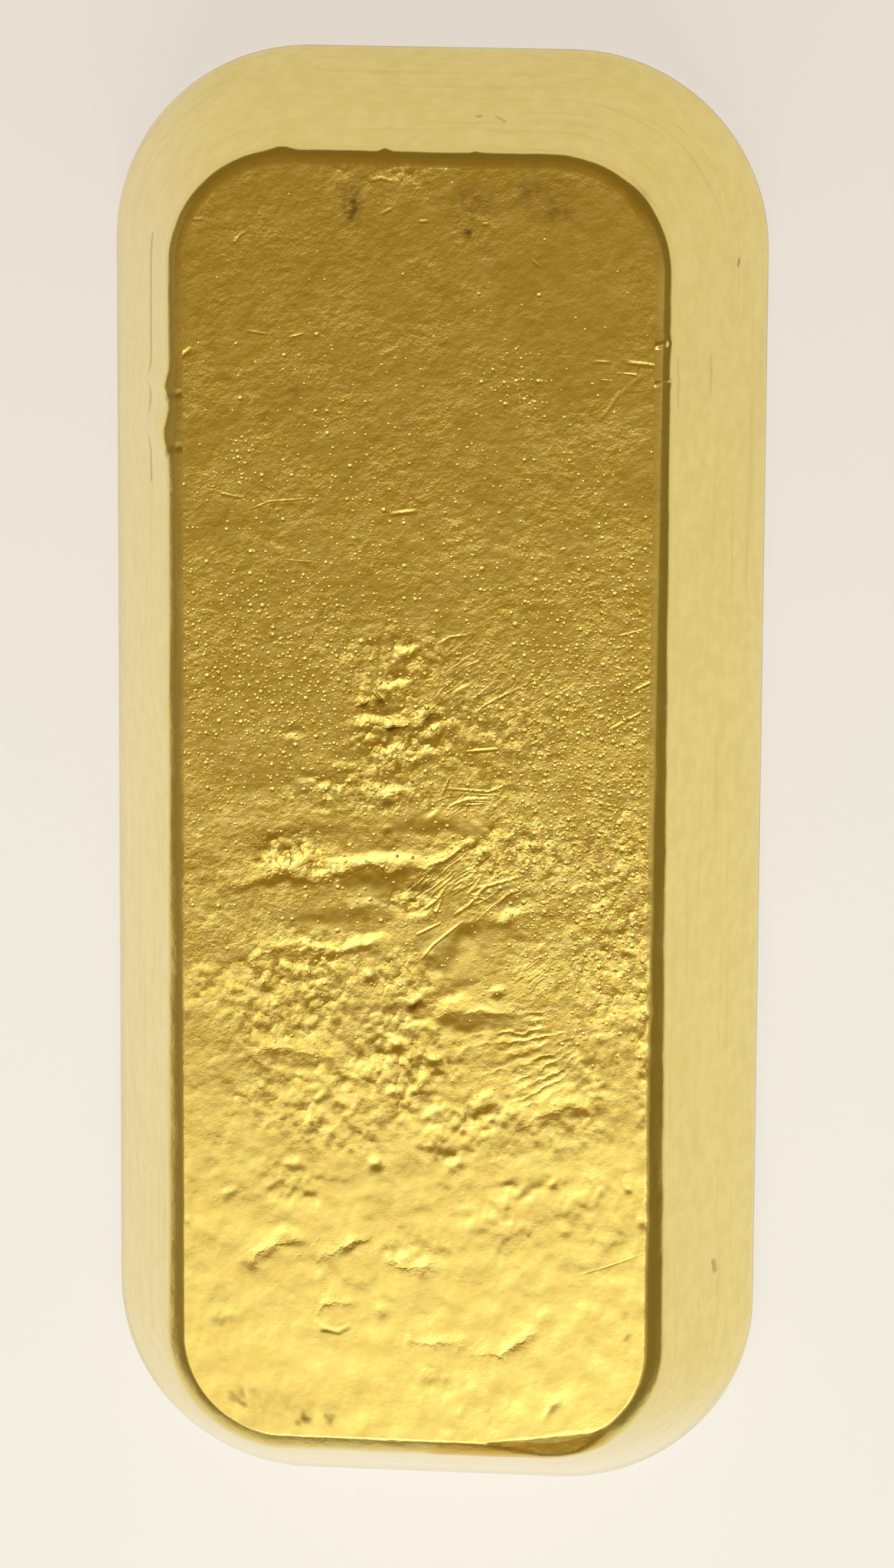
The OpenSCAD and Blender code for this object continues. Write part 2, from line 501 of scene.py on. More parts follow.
# Scratches: points, width, depth
SCRATCHES = [
    ([(0.2, -6.5), (1.4, -5.6), (2.2, -4.5)], 0.18, 0.035),
    ([(1.3, -6.7), (1.8, -5.4)], 0.14, 0.02),
    ([(2.5, -6.6), (3.6, -5.8), (4.6, -4.6), (7.0, -3.8)], 0.18, 0.035),
    ([(3.4, -5.0), (5.0, -5.6)], 0.12, 0.02),
    ([(5.4, -5.8), (6.0, -5.1), (6.9, -4.7)], 0.16, 0.03),
    ([(0.0, -8.0), (1.7, -7.1)], 0.14, 0.025),
    ([(0.4, -9.6), (1.2, -8.6), (3.2, -6.9)], 0.14, 0.025),
    ([(0.8, -3.3), (2.0, -2.9), (3.3, -1.8)], 0.22, 0.03),
    ([(1.9, 1.9), (4.8, 1.75), (6.1, 2.3)], 0.14, 0.025),
    ([(2.1, 0.65), (3.4, 1.2), (4.9, 1.3)], 0.20, 0.04),
    ([(2.6, 0.8), (4.7, 0.95)], 0.12, 0.02),
    ([(1.7, 1.4), (2.25, 2.7)], 0.16, 0.03),
    ([(3.2, 4.35), (5.4, 4.6)], 0.18, 0.04),
    ([(3.6, 6.8), (5.0, 7.8), (7.4, 9.0)], 0.14, 0.02),
    ([(1.2, 11.3), (2.2, 11.9), (3.5, 12.1)], 0.16, 0.02),
    ([(14.0, 8.6), (15.5, 9.4)], 0.16, 0.03),
    ([(12.5, 6.0), (14.7, 7.3)], 0.16, 0.03),
    ([(12.9, 12.2), (14.8, 12.7)], 0.14, 0.015),
    ([(10.7, -30.7), (13.0, -29.9), (15.4, -28.9)], 0.12, 0.008),
    ([(11.9, 26.4), (13.0, 28.0), (14.6, 29.3)], 0.24, 0.02),
    ([(13.2, 28.2), (14.6, 28.3)], 0.14, 0.015),
    ([(13.4, 30.1), (15.5, 29.85)], 0.22, 0.04),
    ([(11.4, 30.1), (12.4, 30.05)], 0.16, 0.02),
    ([(-15.9, 29.0), (-15.3, 29.9), (-14.6, 30.4)], 0.24, 0.05),
    ([(-15.3, 38.4), (-14.6, 38.7), (-13.8, 38.8)], 0.18, 0.025),
    ([(-11.9, 37.2), (-11.3, 38.0)], 0.16, 0.03),
    ([(-11.1, 31.6), (-9.7, 31.4)], 0.16, 0.02),
    ([(-8.4, 31.2), (-7.3, 31.5)], 0.12, 0.02),
    ([(-2.4, 39.3), (-1.6, 39.7)], 0.2, 0.025),
    ([(0.0, 38.85), (0.7, 38.9)], 0.16, 0.03),
    ([(4.1, 38.75), (4.6, 38.8)], 0.18, 0.03),
    ([(7.3, 36.6), (7.8, 36.1)], 0.16, 0.02),
    ([(-13.0, 21.0), (-11.4, 20.7)], 0.16, 0.02),
    ([(-11.0, 19.9), (-9.6, 20.5), (-7.2, 20.75)], 0.10, 0.015),
    ([(-1.7, 19.85), (-0.9, 20.0), (0.0, 20.1)], 0.22, 0.04),
    ([(-8.7, 16.7), (-6.5, 16.6)], 0.1, 0.01),
    ([(-3.2, 41.4), (-2.4, 41.6), (-1.6, 41.4)], 0.2, 0.03),
    ([(2.6, 42.4), (4.4, 42.5)], 0.22, 0.03),
    ([(-6.5, -34.3), (-6.0, -34.9), (-5.0, -35.1), (-4.1, -34.6)], 0.3, 0.03),
    ([(-3.9, 7.2), (-3.4, 7.3), (-3.1, 7.6)], 0.15, 0.08),
    ([(-2.8, 8.2), (-2.1, 7.4)], 0.15, 0.08),
    ([(0.6, 6.4), (1.0, 6.9), (1.6, 6.8)], 0.14, 0.08),
    ([(-2.0, 5.8), (-1.2, 5.9), (-0.4, 6.0)], 0.14, 0.07),
]

# Uneven borders of marks: how far noise shifts a place, and its size, for a broad and a fine noise
RAG_BROAD = 0.3
RAG_BROAD_SIZE = 1.4
RAG_FINE = 0.16
RAG_FINE_SIZE = 0.55
RAG_SEEDS = ((5, 7), (6, 8))

# Uneven borders of fields: how far noise shifts a place, its size, and the softness of a border
FIELD_RAG = 2.0
FIELD_RAG_SIZE = 4.0
FIELD_RAG_SEEDS = (81, 91)
FIELD_SOFT = 0.8

# Swells of the skin: height and size
SWELL_HEIGHT = 0.07
SWELL_SIZE = 6.0
SWELL_SEED = 3

# Share of the swells at both ends of the bar, and the places along it between which they grow from each end
SWELL_LEAST = 0.35
SWELL_HIGH = (14.0, -4.0)
SWELL_LOW = (-34.0, -22.0)

# Lumps in the crumbly fields: height, size and how narrow they are
LUMP_HEIGHT = 0.07
LUMP_SIZE = 1.4
LUMP_NARROW = 0.75
LUMP_SEED = 11

# Soft lumps toward the low end: height, size, and the places along the bar between which they come
SOFT_HEIGHT = 0.035
SOFT_SIZE = 2.2
SOFT_AT = (-18.0, -28.0)
SOFT_SEED = 23


def ragged(x, y):
    """A place shifted by noise of two sizes, so that the borders of marks come out uneven."""
    moved = []
    for value, (broad_seed, fine_seed) in zip((x, y), RAG_SEEDS):
        broad = RAG_BROAD * smooth_noise(x / RAG_BROAD_SIZE, y / RAG_BROAD_SIZE, broad_seed)
        fine = RAG_FINE * smooth_noise(x / RAG_FINE_SIZE, y / RAG_FINE_SIZE, fine_seed)
        moved.append(value + broad + fine)
    return moved


def field_map(x, y, fields, least):
    """Strength over the face: the least value, and more in each field. Noise makes a field's border
    ragged where the field is wider than the shift."""
    ragged_x, ragged_y = (value + FIELD_RAG * layered_noise(x, y, FIELD_RAG_SIZE, seed)
                          for value, seed in zip((x, y), FIELD_RAG_SEEDS))
    strength = np.broadcast_to(least, x.shape)
    for centre, half_x, half_y, most in fields:
        soft_x = np.where(half_x > FIELD_RAG, ragged_x, x)
        soft_y = np.where(half_y > FIELD_RAG, ragged_y, y)
        strength = np.maximum(strength, most * patch(soft_x, soft_y, centre, half_x, half_y, FIELD_SOFT))
    return strength


def crumb_map(x, y):
    """Strength of the crumbs: a little from the middle of the bar to its low end, more in each field."""
    return field_map(x, y, CRUMB_FIELDS, CRUMB_LEAST * ramp(y, *CRUMB_LEAST_AT))


def grain_map(x, y):
    """Strength of the grain: even over the face, less toward the low end and on each smooth sheet."""
    strength = 1 - GRAIN_LOST * ramp(y, *GRAIN_LOST_AT)
    for centre, half_x, half_y, lost in SMOOTH_SHEETS:
        strength = strength * (1 - lost * patch(x, y, centre, half_x, half_y, SHEET_SOFT))
    return strength


def stain_and_shade_map(x, y):
    """Strength of the brown stains and of the painted shade in dents and seams: an oval for each, with an
    uneven border, broken up by noise.
    """
    uneven_x, uneven_y = ragged(x, y)
    total = np.zeros_like(x)
    for centre, half_x, half_y, strength in STAINS_AND_PAINTED_SHADE:
        total = np.maximum(total, strength * patch(uneven_x, uneven_y, centre, half_x, half_y, STAIN_SHADE_SOFT))
    share = STAIN_SHADE_USUAL + STAIN_SHADE_CHANGE * layered_noise(x, y, STAIN_SHADE_CHANGE_SIZE, STAIN_SHADE_SEED)
    return np.clip(total * share, 0, 1)


def relief(x, y):
    """Height of the cast skin over the flat mould face: swells, both kinds of lumps, seams, leaning
    patches, pits and dents added. All but swells, soft lumps and pits have uneven borders."""
    uneven_x, uneven_y = ragged(x, y)
    share = SWELL_LEAST + (1 - SWELL_LEAST) * ramp(y, *SWELL_HIGH) * ramp(y, *SWELL_LOW)
    height = SWELL_HEIGHT * share * layered_noise(x, y, SWELL_SIZE, SWELL_SEED)
    lumps = layered_noise(uneven_x / LUMP_NARROW, uneven_y, LUMP_SIZE, LUMP_SEED)
    height += LUMP_HEIGHT * crumb_map(x, y) * lumps
    height += SOFT_HEIGHT * ramp(y, *SOFT_AT) * layered_noise(x, y, SOFT_SIZE, SOFT_SEED)
    for line, depth, upper, lower in SEAMS:
        height += seam(uneven_x, uneven_y, line, depth, upper, lower)
    for centre, half_x, half_y, turn, slope in LEANING:
        height += LEAN_STRENGTH * slope * leaning(uneven_x, uneven_y, centre, half_x, half_y, turn)
    for centre, half, depth in PITS:
        height -= depth * bell(x, y, centre, half, half, 0)
    for centre, half_x, half_y, turn, depth in DENTS:
        height -= depth * bell(uneven_x, uneven_y, centre, half_x, half_y, turn)
    return height


def edge_bow(y):
    """How far the long sides of the mould face draw in: a parabola along the bar."""
    return BOW * np.clip(1 - (y / BOW_HALF) ** 2, 0, 1)


def edge_swell(x, y):
    """How far the mould edge stands out: a bell for each swelling, and slight waves."""
    out = EDGE_WAVE * layered_noise(x, y, EDGE_WAVE_SIZE, EDGE_WAVE_SEED)
    for centre, half, height in EDGE_SWELLS:
        out += height * bell(x, y, centre, half, half, 0)
    return out


# The casting

def side_section():
    """Section of a side below the mould edge: reach from the corner axis and height. A straight line
    leaves the edge's round at the side's draft, and an arc turns from there to straight down."""
    top = np.r_[EDGE_X + EDGE_R * math.cos(DRAFT), EDGE_Z + EDGE_R * math.sin(DRAFT)]
    rim = np.c_[RIM_X + RIM_R * np.cos(RIM_TURN), RIM_R + RIM_R * np.sin(RIM_TURN)]
    share = np.linspace(0, 1, SIDE_RINGS + 1)[1:-1, None]
    return np.vstack([top * (1 - share) + rim[0] * share, rim])


def ring_facing():
    """Angle over level that each ring faces: even steps from up to the draft, the draft, and the rim's."""
    edge = np.linspace(math.pi / 2, DRAFT, EDGE_RINGS + 1)[1:]
    return np.concatenate([edge, np.full(SIDE_RINGS - 1, DRAFT), RIM_TURN])


def bevel_rings(y):
    """Reach and height of the rings of the mould edge at each place along the bar: even steps from the
    bevel's start on the face to its end on the side, pushed out by half a wave, and one more ring
    further down."""
    half_turn = (math.pi / 2 - DRAFT) / 2
    run = EDGE_R * math.tan(half_turn)
    corner = np.r_[EDGE_X + run, BAR_H]
    down = np.r_[math.sin(DRAFT), -math.cos(DRAFT)]
    outward = np.r_[math.sin(half_turn), math.cos(half_turn)]
    reach_in = run * np.interp(y, BEVEL_AT, BEVEL_IN)[:, None]
    reach_down = run * np.interp(y, BEVEL_AT, BEVEL_DOWN)[:, None]
    start = corner - reach_in * [1, 0]
    end = corner + reach_down * down
    share = np.linspace(0, 1, EDGE_RINGS - 1)[:, None, None]
    bevel = start + (end - start) * share + BEVEL_BULGE * reach_in * np.sin(math.pi * share) * outward
    return np.concatenate([bevel, (end + BEVEL_FOOT * down)[None]])


def face_grid():
    """Places on the mould face: rows in three stretches along the straight sides and at even turns round
    the corners, each as wide as the rounded outline there. Also the turn of the outline at each row."""
    corner = np.linspace(0, math.pi / 2, CORNER_ROWS + 1)
    turn = np.concatenate([-corner[:0:-1], np.zeros(STRAIGHT_ROWS + 1), corner[1:]])
    half = CORE_L / 2
    straight = np.concatenate([np.linspace(-half, FINE_LOW, LOW_ROWS + 1)[:-1],
                               np.linspace(FINE_LOW, FINE_HIGH, FINE_ROWS + 1)[:-1],
                               np.linspace(FINE_HIGH, half, HIGH_ROWS + 1)])
    axis = np.concatenate([np.full(CORNER_ROWS, -half), straight, np.full(CORNER_ROWS, half)])
    across = np.linspace(-1, 1, FACE_COLUMNS)
    half_width = CORE_W / 2 + EDGE_X * np.cos(turn)
    x = half_width[:, None] * across
    y = np.repeat((axis + EDGE_X * np.sin(turn))[:, None], FACE_COLUMNS, axis=1)
    return x, y, turn


def edge_loop(grid, turn):
    """Grid numbers round the face's edge, counter-clockwise from above, and each one's outward direction."""
    low_row = grid[0]
    right_column = grid[1:-1, -1]
    high_row = grid[-1, ::-1]
    left_column = grid[-2:0:-1, 0]
    upright = np.r_[0.0, 1.0]
    right_out = np.c_[np.cos(turn), np.sin(turn)][1:-1]
    left_out = (right_out * [-1, 1])[::-1]
    outward = np.vstack([np.tile(-upright, (FACE_COLUMNS, 1)), right_out,
                         np.tile(upright, (FACE_COLUMNS, 1)), left_out])
    return np.concatenate([low_row, right_column, high_row, left_column]), outward


def strip_quads(rings):
    """Quads between neighbouring rings, each row of rings being the point numbers of one closed ring."""
    ahead = np.roll(rings, -1, axis=1)
    return np.stack([rings[:-1], rings[1:], ahead[1:], ahead[:-1]], axis=-1).reshape(-1, 4)


def cut_flats(points):
    """Lowers points onto each flat: past its line none stands above a plane that falls away from it."""
    for start, end, fall in FLATS:
        length = math.dist(start, end)
        run_x = (end[0] - start[0]) / length
        run_y = (end[1] - start[1]) / length
        past = (points[:, 0] - start[0]) * run_y - (points[:, 1] - start[1]) * run_x
        limit = BAR_H - math.tan(math.radians(fall)) * past
        points[:, 2] = np.where(past > 0, np.minimum(points[:, 2], limit), points[:, 2])


def ring_points(edge_x, edge_y, outward):
    """Points of the rings from the mould edge to the floor, for each place on the edge and its outward
    direction. The relief moves a ring along the direction that it faces and fades out over the edge. The
    swellings fade in over the edge, and with the bow they fade out toward the rim."""
    section = np.repeat(side_section()[:, None], len(edge_x), axis=1)
    formed = np.concatenate([bevel_rings(edge_y), section])
    foot = np.c_[edge_x, edge_y] - EDGE_X * outward
    ring_xy = foot + formed[..., :1] * outward
    ring_number = np.arange(len(formed))
    lift = relief(ring_xy[..., 0], ring_xy[..., 1]) * ramp(ring_number, EDGE_RINGS + 1, 0)[:, None]
    onset = ramp(ring_number, -EDGE_RINGS / 2, EDGE_RINGS)[:, None]
    above_rim = ramp(formed[..., 1], RIM_R, EDGE_Z)
    swell = edge_swell(edge_x + EDGE_R * outward[:, 0], edge_y + EDGE_R * outward[:, 1])
    inward = edge_bow(edge_y) * np.abs(outward[:, 0])
    facing = ring_facing()[:, None]
    push = lift * np.cos(facing) + (swell * onset - inward) * above_rim
    ring_xy = ring_xy + push[..., None] * outward
    ring_z = formed[..., 1] + lift * np.sin(facing)
    return np.concatenate([ring_xy, ring_z[..., None]], axis=-1)


def open_face(last, rows):
    """Faces of the open face, from the point numbers of the last ring: quads between its long sides, and
    one face for each end."""
    low_row = last[:FACE_COLUMNS]
    right_column = last[FACE_COLUMNS:FACE_COLUMNS + rows - 2]
    high_row = last[FACE_COLUMNS + rows - 2:2 * FACE_COLUMNS + rows - 2]
    left_column = last[:2 * FACE_COLUMNS + rows - 3:-1]
    quads = np.stack([left_column[:-1], left_column[1:], right_column[1:], right_column[:-1]], axis=-1)
    low_end = np.r_[low_row[::-1], left_column[0], right_column[0]]
    high_end = np.r_[high_row[::-1], right_column[-1], left_column[-1]]
    return [*quads.tolist(), low_end.tolist(), high_end.tolist()]


def casting():
    """Points and faces of the whole bar, and how many faces are of the mould face and of the sides, in
    that order."""
    x, y, turn = face_grid()
    rows = len(turn)
    grid = np.arange(rows * FACE_COLUMNS).reshape(rows, FACE_COLUMNS)
    loop, outward = edge_loop(grid, turn)
    drawn_in = edge_bow(y) * x / (CORE_W / 2 + EDGE_X)
    face = np.stack([x - drawn_in, y, BAR_H + relief(x, y)], axis=-1).reshape(-1, 3)
    rings = ring_points(x.ravel()[loop], y.ravel()[loop], outward)
    points = np.vstack([face, rings.reshape(-1, 3)])
    cut_flats(points)

    face_quads = np.stack([grid[:-1, :-1], grid[:-1, 1:], grid[1:, 1:], grid[1:, :-1]], axis=-1)
    face_quads = face_quads.reshape(-1, 4)
    ring_numbers = len(face) + np.arange(rings.shape[0] * len(loop)).reshape(-1, len(loop))
    side_quads = strip_quads(np.vstack([loop, ring_numbers]))
    faces = [*face_quads.tolist(), *side_quads.tolist(), *open_face(ring_numbers[-1], rows)]
    return points, faces, len(face_quads), len(side_quads)


def add_mesh(name, points, faces):
    """A smooth mesh object at the origin, from points in millimetres."""
    mesh = bpy.data.meshes.new(name)
    mesh.from_pydata((points * MM).tolist(), [], faces)
    mesh.shade_smooth()
    thing = bpy.data.objects.new(name, mesh)
    bpy.context.scene.collection.objects.link(thing)
    return thing


def add_attribute(thing, name, values):
    """A number for each point of the mesh, which a material reads by its name."""
    layer = thing.data.attributes.new(name, "FLOAT", "POINT")
    layer.data.foreach_set("value", np.asarray(values, dtype=np.float32))


# Node helpers

# Middle of what a noise node puts out
NOISE_MIDDLE = 0.5


def put(tree, socket, value):
    """Feed a socket from another socket, or set it to a plain value."""
    if isinstance(value, bpy.types.NodeSocket):
        tree.links.new(value, socket)
    else:
        socket.default_value = value


def calc(tree, operation, first, second=0.0, third=0.0):
    """One step of arithmetic on numbers."""
    node = tree.nodes.new("ShaderNodeMath")
    node.operation = operation
    for socket, value in zip(node.inputs, (first, second, third)):
        put(tree, socket, value)
    return node.outputs[0]


def product(tree, first, *others):
    """Numbers multiplied together."""
    total = first
    for other in others:
        total = calc(tree, "MULTIPLY", total, other)
    return total


def total_of(tree, first, *others):
    """Numbers added together."""
    total = first
    for other in others:
        total = calc(tree, "ADD", total, other)
    return total


def calc_vector(tree, operation, first, second=(0, 0, 0), output="Vector"):
    """One step of arithmetic on places and directions."""
    node = tree.nodes.new("ShaderNodeVectorMath")
    node.operation = operation
    put(tree, node.inputs[0], first)
    put(tree, node.inputs[1], second)
    return node.outputs[output]


def scaled(tree, vector, factor):
    """A direction made longer or shorter by a factor."""
    node = tree.nodes.new("ShaderNodeVectorMath")
    node.operation = "SCALE"
    put(tree, node.inputs[0], vector)
    put(tree, node.inputs["Scale"], factor)
    return node.outputs["Vector"]


def split(tree, vector):
    """The X, Y and Z of a place or a direction."""
    node = tree.nodes.new("ShaderNodeSeparateXYZ")
    put(tree, node.inputs[0], vector)
    return node.outputs["X"], node.outputs["Y"], node.outputs["Z"]


def leaned(tree, place, turn, stretch):
    """A place turned back by some degrees about Z, then divided by a stretch, for a pattern that leans."""
    node = tree.nodes.new("ShaderNodeMapping")
    node.vector_type = "TEXTURE"
    put(tree, node.inputs["Vector"], place)
    node.inputs["Rotation"].default_value = (0, 0, math.radians(turn))
    node.inputs["Scale"].default_value = stretch
    return node.outputs["Vector"]


def spread(tree, value, from_low, from_high, to_low, to_high):
    """A value mapped from one range to another through a smooth S."""
    node = tree.nodes.new("ShaderNodeMapRange")
    node.interpolation_type = "SMOOTHSTEP"
    for name, number in (("Value", value), ("From Min", from_low), ("From Max", from_high),
                         ("To Min", to_low), ("To Max", to_high)):
        put(tree, node.inputs[name], number)
    return node.outputs["Result"]


def cloud(tree, place, scale, detail, rough):
    """Noise about 0 at a place, from about -0.5 to 0.5."""
    node = tree.nodes.new("ShaderNodeTexNoise")
    put(tree, node.inputs["Vector"], place)
    node.inputs["Scale"].default_value = scale
    node.inputs["Detail"].default_value = detail
    node.inputs["Roughness"].default_value = rough
    return calc(tree, "SUBTRACT", node.outputs[0], NOISE_MIDDLE)


def patches(tree, place, noise, span):
    """Noise at a place, mapped from one range to another through a smooth S."""
    return spread(tree, cloud(tree, place, *noise), *span)


def warp(tree, place, scale):
    """A direction about 0 at a place, from the three colours of a noise."""
    node = tree.nodes.new("ShaderNodeTexNoise")
    put(tree, node.inputs["Vector"], place)
    node.inputs["Scale"].default_value = scale
    return calc_vector(tree, "SUBTRACT", node.outputs["Color"], (NOISE_MIDDLE,) * 3)


def cells(tree, place, scale):
    """Random cells in a plane: distance from the cell's middle in cell sizes, two random numbers from 0
    to 1 for each cell, and the height of the place over the cell's middle."""
    node = tree.nodes.new("ShaderNodeTexVoronoi")
    node.voronoi_dimensions = "2D"
    put(tree, node.inputs["Vector"], place)
    node.inputs["Scale"].default_value = scale
    chance = tree.nodes.new("ShaderNodeSeparateColor")
    put(tree, chance.inputs[0], node.outputs["Color"])
    upward = split(tree, calc_vector(tree, "SUBTRACT", place, node.outputs["Position"]))[1]
    return node.outputs["Distance"], chance.outputs[0], chance.outputs[1], upward


def blend(tree, share, first, second):
    """A colour between two colours."""
    node = tree.nodes.new("ShaderNodeMix")
    node.data_type = "RGBA"
    put(tree, node.inputs["Factor"], share)
    put(tree, node.inputs["A"], first)
    put(tree, node.inputs["B"], second)
    return node.outputs["Result"]


def new_group(name, inputs, outputs):
    """An empty node group with named sockets, and its own input and output nodes."""
    tree = bpy.data.node_groups.new(name, "ShaderNodeTree")
    for kind, sockets in (("INPUT", inputs), ("OUTPUT", outputs)):
        for label, socket_type in sockets:
            tree.interface.new_socket(label, in_out=kind, socket_type="NodeSocket" + socket_type)
    return tree, tree.nodes.new("NodeGroupInput"), tree.nodes.new("NodeGroupOutput")


def use_group(tree, group, values):
    """A group placed in a tree, with a value or a socket for each of its named inputs."""
    node = tree.nodes.new("ShaderNodeGroup")
    node.node_tree = group
    for label, value in values.items():
        put(tree, node.inputs[label], value)
    return node.outputs


# Node groups

# A noise is given by its scale to a millimetre, its detail and its roughness.
# A span goes from the range of its first two numbers to the range of its last two.

# Grain of the skin: its lean and stretch, with noise and height of a finer and a broader layer
GRAIN_TURN = 24
GRAIN_STRETCH = (1.1, 1, 1)
GRAIN_NOISE = (1.5, 5, 0.66)
GRAIN_HEIGHT = 0.075
BROAD_GRAIN_NOISE = (0.8, 1, 0.5)
BROAD_GRAIN_HEIGHT = 0.038

# Share of the finer grain in calm and lively patches
LIVELY_NOISE = (0.3, 2, 0.5)
LIVELY_SPAN = (-0.12, 0.14, 0.7, 1.2)

# Crumbs, coarse and fine: cells to a millimetre and depth of their bowls
COARSE_CRUMBS = (1.5, 0.098)
FINE_CRUMBS = (3.2, 0.02)

# Random number of a crumb that stays level, and how far others lean
CRUMB_LEVEL = 0.4
CRUMB_LEAN = 0.22

# How narrow crumbs are, and the scale and size of the warp that bends them
CRUMB_STRETCH = (0.75, 1, 1)
CRUMB_BEND_SCALE = 1.3
CRUMB_BEND = 0.5

# Share of the coarse crumbs, where noise breaks them up
CRUMB_BREAK_NOISE = (0.6, 2, 0.6)
CRUMB_BREAK_SPAN = (-0.1, 0.14, 0.35, 1.0)

# Lumps among the crumbs
CRUMB_LUMP_NOISE = (0.9, 1, 0.4)
CRUMB_LUMP_HEIGHT = 0.14

# Pores, large and small: cells to a millimetre, least radius and how much more
LARGE_PORES = (1.4, 0.11, 0.09)
SMALL_PORES = (2.2, 0.08, 0.05)

# Share of a pore's radius that is flat, its depth to its radius, and how much deeper its low side is
PORE_FLAT = 0.1
PORE_DEPTH = 0.24
PORE_LEAN = 0.7

# Streaks: their lean, stretch, noise, width in noise and depth
STREAK_TURN = 38
STREAK_STRETCH = (4.5, 1, 1)
STREAK_NOISE = (0.9, 2, 0.6)
STREAK_WIDTH = 0.05
STREAK_DEPTH = 0.022


def pore_layer(tree, place, sizes, share):
    """One layer of pores: in a share of the cells a bowl about the cell's middle, of a random radius in
    millimetres, deeper on its low side. Gives its depth."""
    scale, least, more = sizes
    distance, first, second, upward = cells(tree, place, scale)
    radius = calc(tree, "MULTIPLY_ADD", product(tree, first, first), more, least)
    away = calc(tree, "DIVIDE", calc(tree, "DIVIDE", distance, scale), radius)
    bowl = spread(tree, away, PORE_FLAT, 1.0, 1.0, 0.0)
    tilt = calc(tree, "MULTIPLY_ADD", calc(tree, "DIVIDE", upward, radius), -PORE_LEAN, 1.0)
    return product(tree, bowl, calc(tree, "LESS_THAN", second, share), tilt, radius)


def crumb_layer(tree, place, sizes):
    """One layer of crumbs: in each cell a bowl that rises with the squared distance from the cell's
    middle, and leans up or down by a random slope."""
    scale, depth = sizes
    distance, first, _, upward = cells(tree, place, scale)
    lean = product(tree, calc(tree, "SUBTRACT", first, CRUMB_LEVEL), upward, CRUMB_LEAN)
    return calc(tree, "MULTIPLY_ADD", product(tree, distance, distance), depth, lean)


def cast_skin_group():
    """Fine relief of cast metal, in millimetres: grain, crumbs, streaks and pores of given strength."""
    tree, start, end = new_group(
        "cast_skin",
        [("Place", "Vector"), ("Grain", "Float"), ("Crumble", "Float"), ("Streaks", "Float"),
         ("Pores", "Float")],
        [("Height", "Float")])
    place = start.outputs["Place"]
    flow = leaned(tree, place, GRAIN_TURN, GRAIN_STRETCH)
    lively = patches(tree, place, LIVELY_NOISE, LIVELY_SPAN)
    grain = product(tree, cloud(tree, flow, *GRAIN_NOISE), GRAIN_HEIGHT, lively)
    broad = product(tree, cloud(tree, flow, *BROAD_GRAIN_NOISE), BROAD_GRAIN_HEIGHT)
    grain = product(tree, total_of(tree, grain, broad), start.outputs["Grain"])

    narrow = leaned(tree, place, 0, CRUMB_STRETCH)
    bent = calc_vector(tree, "ADD", narrow, scaled(tree, warp(tree, place, CRUMB_BEND_SCALE), CRUMB_BEND))
    broken = patches(tree, place, CRUMB_BREAK_NOISE, CRUMB_BREAK_SPAN)
    coarse = product(tree, crumb_layer(tree, bent, COARSE_CRUMBS), broken)
    fine = product(tree, crumb_layer(tree, bent, FINE_CRUMBS), start.outputs["Grain"])
    sharp = product(tree, total_of(tree, coarse, fine), start.outputs["Grain"])
    lumps = product(tree, cloud(tree, narrow, *CRUMB_LUMP_NOISE), CRUMB_LUMP_HEIGHT)
    crumble = product(tree, total_of(tree, sharp, lumps), start.outputs["Crumble"])

    feather = cloud(tree, leaned(tree, place, STREAK_TURN, STREAK_STRETCH), *STREAK_NOISE)
    streaks = spread(tree, calc(tree, "ABSOLUTE", feather), 0.0, STREAK_WIDTH, -STREAK_DEPTH, 0.0)
    streaks = product(tree, streaks, start.outputs["Streaks"])

    large = pore_layer(tree, place, LARGE_PORES, start.outputs["Pores"])
    small = pore_layer(tree, place, SMALL_PORES, start.outputs["Pores"])
    pores = product(tree, total_of(tree, large, small), -PORE_DEPTH)
    put(tree, end.inputs["Height"], total_of(tree, grain, crumble, streaks, pores))
    return tree


# Lip of a seam: noise that makes it ragged, how far it shifts, widths above and below, share of the depth
LIP_NOISE = (1.3, 4, 0.65)
LIP_SHIFT = 1.2
LIP_ABOVE = 0.6
LIP_BELOW = 0.25
LIP_SHARE = 0.7


def seam_lip_group():
    """Ragged lip of a seam, in millimetres: a groove that sinks with e to the minus distance from the seam,
    slowly above it and fast below it, where noise shifts the distance."""
    tree, start, end = new_group(
        "seam_lip", [("Place", "Vector"), ("Away", "Float"), ("Depth", "Float")], [("Height", "Float")])
    shift = product(tree, cloud(tree, start.outputs["Place"], *LIP_NOISE), LIP_SHIFT)
    away = total_of(tree, start.outputs["Away"], shift)
    above = product(tree, calc(tree, "MAXIMUM", away, 0.0), -1 / LIP_ABOVE)
    below = product(tree, calc(tree, "MINIMUM", away, 0.0), 1 / LIP_BELOW)
    sunk = calc(tree, "EXPONENT", total_of(tree, above, below))
    put(tree, end.inputs["Height"], product(tree, sunk, -LIP_SHARE, start.outputs["Depth"]))
    return tree


